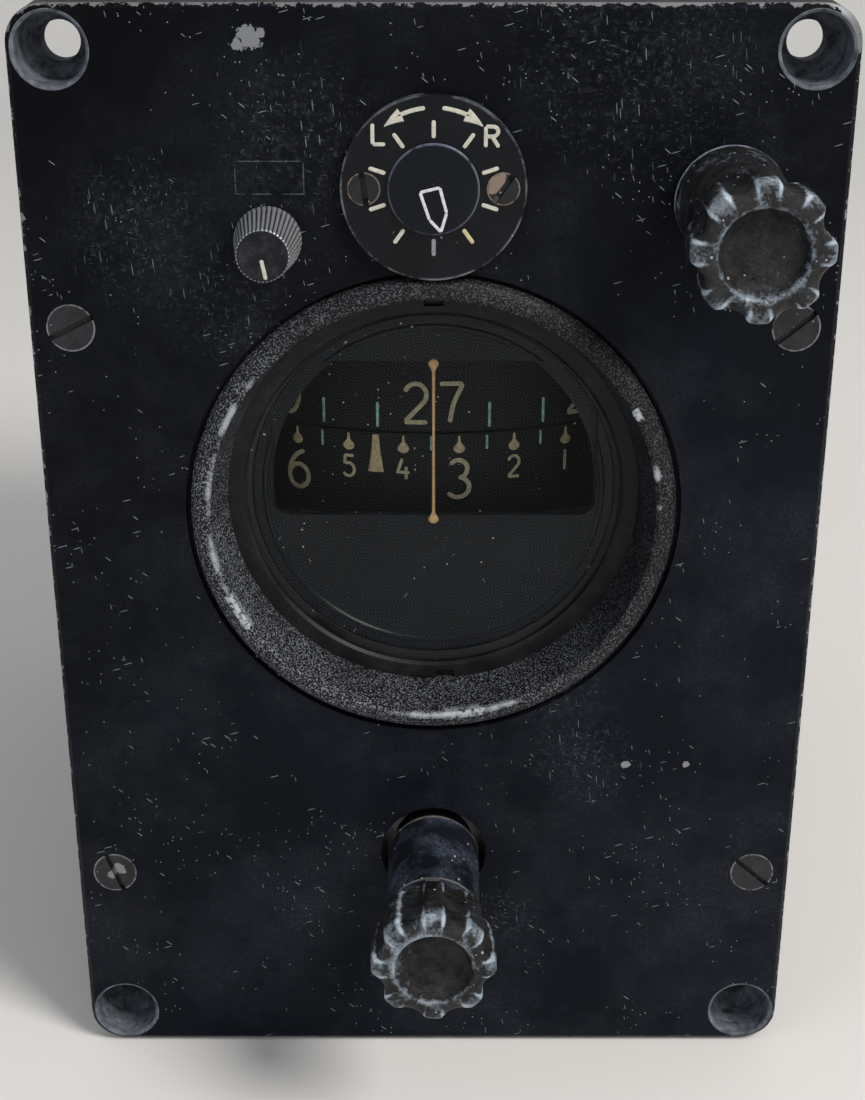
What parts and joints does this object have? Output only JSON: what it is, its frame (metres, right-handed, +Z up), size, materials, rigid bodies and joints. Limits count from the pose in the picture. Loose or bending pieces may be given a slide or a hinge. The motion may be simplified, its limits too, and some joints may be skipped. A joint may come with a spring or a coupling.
{
  "type": "autopilot gyro unit",
  "caption": "Panel-mounted directional gyro with two heading cards in a round window, course, caging and trim knobs and a small trim dial.",
  "frame": {"origin": "centre of the four corner bolts on the rear face of the front panel", "axes": "+Z up, +Y from the panel back into the case, +X to the right seen from the front"},
  "size_m": [0.127, 0.2164, 0.1872],
  "materials": {
    "panel_paint": "satin black paint with worn edges",
    "case_paint": "fine wrinkle black paint",
    "bezel_paint": "coarse crinkle black paint",
    "mask_paint": "smooth matt black paint",
    "card_paint": "matt black with pale figures",
    "lubber_paint": "tan paint",
    "screw_steel": "blackened slotted steel",
    "knob_plastic": "moulded black phenolic, worn lobes",
    "sleeve_metal": "black enamel over brass, chipped",
    "knurl_metal": "knurled, top painted black",
    "dial_paint": "satin black with cream marks",
    "clear_glass": "flat clear glass",
    "seal_rubber": "moulded seal",
    "steel": "turned steel",
    "brass": "turned brass",
    "alloy": "machined light alloy",
    "copper_pipe": "drawn tube"
  },
  "bodies": {
    "instrument_case": {"front_panel": "panel_paint", "panel_screws": "screw_steel", "bezel_ring": "bezel_paint", "retaining_ring": "mask_paint", "window_glass": "clear_glass", "glass_gasket": "seal_rubber", "mask_plate": "mask_paint", "mask_screws": "steel", "lubber_line": "lubber_paint", "dial_plate": "dial_paint", "dial_screws": "screw_steel", "front_gasket": "seal_rubber", "case_body": "case_paint", "rear_gasket": "seal_rubber", "rear_cover": "case_paint", "rear_screws": "steel", "top_post": "alloy", "lower_cup": "alloy", "post_screws": "steel", "upper_bearing": "steel", "lower_bearing": "steel", "pickoff_block": "brass", "pickoff_pipes": "copper_pipe", "card_collar": "steel", "worm_bracket": "alloy", "small_screws": "steel", "rudder_bush": "brass", "caging_plate": "alloy", "caging_bush": "brass", "relay_body": "alloy", "vacuum_union": "brass", "outlet_unions": "brass", "air_filter": "case_paint"},
    "gyro_gimbal": {"vertical_ring": "alloy", "upper_trunnion": "steel", "lower_trunnion": "steel", "gimbal_bearings": "steel", "azimuth_card": "card_paint", "sync_disc": "alloy", "pickoff_vane": "alloy"},
    "rotor_housing": {"housing_cup": "alloy", "housing_cover": "alloy", "housing_pivots": "steel", "rotor_bearings": "steel"},
    "gyro_rotor": {"rotor": "brass", "rotor_spindle": "steel"},
    "course_drum": {"course_card": "card_paint", "worm_wheel": "brass"},
    "course_knob": {"worm_shaft": "steel", "rudder_knob": "knob_plastic"},
    "caging_slide": {"caging_sleeve": "sleeve_metal"},
    "caging_spin": {"caging_knob": "knob_plastic", "caging_shaft": "steel", "friction_wheel": "seal_rubber"},
    "trim_drive": {"trim_knob": "knurl_metal", "trim_spindle": "brass"},
    "trim_idler": {"idler_gear": "brass"},
    "trim_pointer": {"dial_pointer": "dial_paint", "dial_spindle": "brass"}
  },
  "joints": [
    {"name": "gimbal_azimuth", "type": "hinge", "parent": "instrument_case", "child": "gyro_gimbal", "pos_m": [0, 0.059, -0.02015], "axis": [0, 0, 1], "continuous": true},
    {"name": "housing_tilt", "type": "hinge", "parent": "gyro_gimbal", "child": "rotor_housing", "pos_m": [0, 0.059, -0.02015], "axis": [1, 0, 0], "range_deg": [-55, 55]},
    {"name": "rotor_turn", "type": "hinge", "parent": "rotor_housing", "child": "gyro_rotor", "pos_m": [0, 0.059, -0.02015], "axis": [0, 1, 0], "continuous": true},
    {"name": "course_turn", "type": "hinge", "parent": "instrument_case", "child": "course_drum", "pos_m": [0, 0.059, 0.0645], "axis": [0, 0, 1], "continuous": true},
    {"name": "course_knob_turn", "type": "hinge", "parent": "instrument_case", "child": "course_knob", "pos_m": [0.0453, 0, 0.0645], "axis": [0, 1, 0], "continuous": true},
    {"name": "caging_push", "type": "slide", "parent": "instrument_case", "child": "caging_slide", "axis": [0, 1, 0], "range_m": [0, 0.006]},
    {"name": "caging_turn", "type": "hinge", "parent": "caging_slide", "child": "caging_spin", "pos_m": [0, -0.03, -0.0527], "axis": [0, 1, 0], "continuous": true},
    {"name": "trim_turn", "type": "hinge", "parent": "instrument_case", "child": "trim_drive", "pos_m": [-0.0255, -0.01, 0.0585], "axis": [0, 1, 0], "range_deg": [-150, 150]},
    {"name": "trim_idler_turn", "type": "hinge", "parent": "instrument_case", "child": "trim_idler", "pos_m": [-0.01275, -0.006, 0.06255], "axis": [0, 1, 0], "range_deg": [-170, 170]},
    {"name": "trim_pointer_turn", "type": "hinge", "parent": "instrument_case", "child": "trim_pointer", "pos_m": [0, -0.01, 0.0666], "axis": [0, 1, 0], "range_deg": [-152, 152]}
  ],
  "couplings": [
    {"joint": "course_knob_turn", "follows": "course_turn", "ratio": -72},
    {"joint": "trim_idler_turn", "follows": "trim_turn", "ratio": -1.1111},
    {"joint": "trim_pointer_turn", "follows": "trim_turn", "ratio": 1}
  ]
}
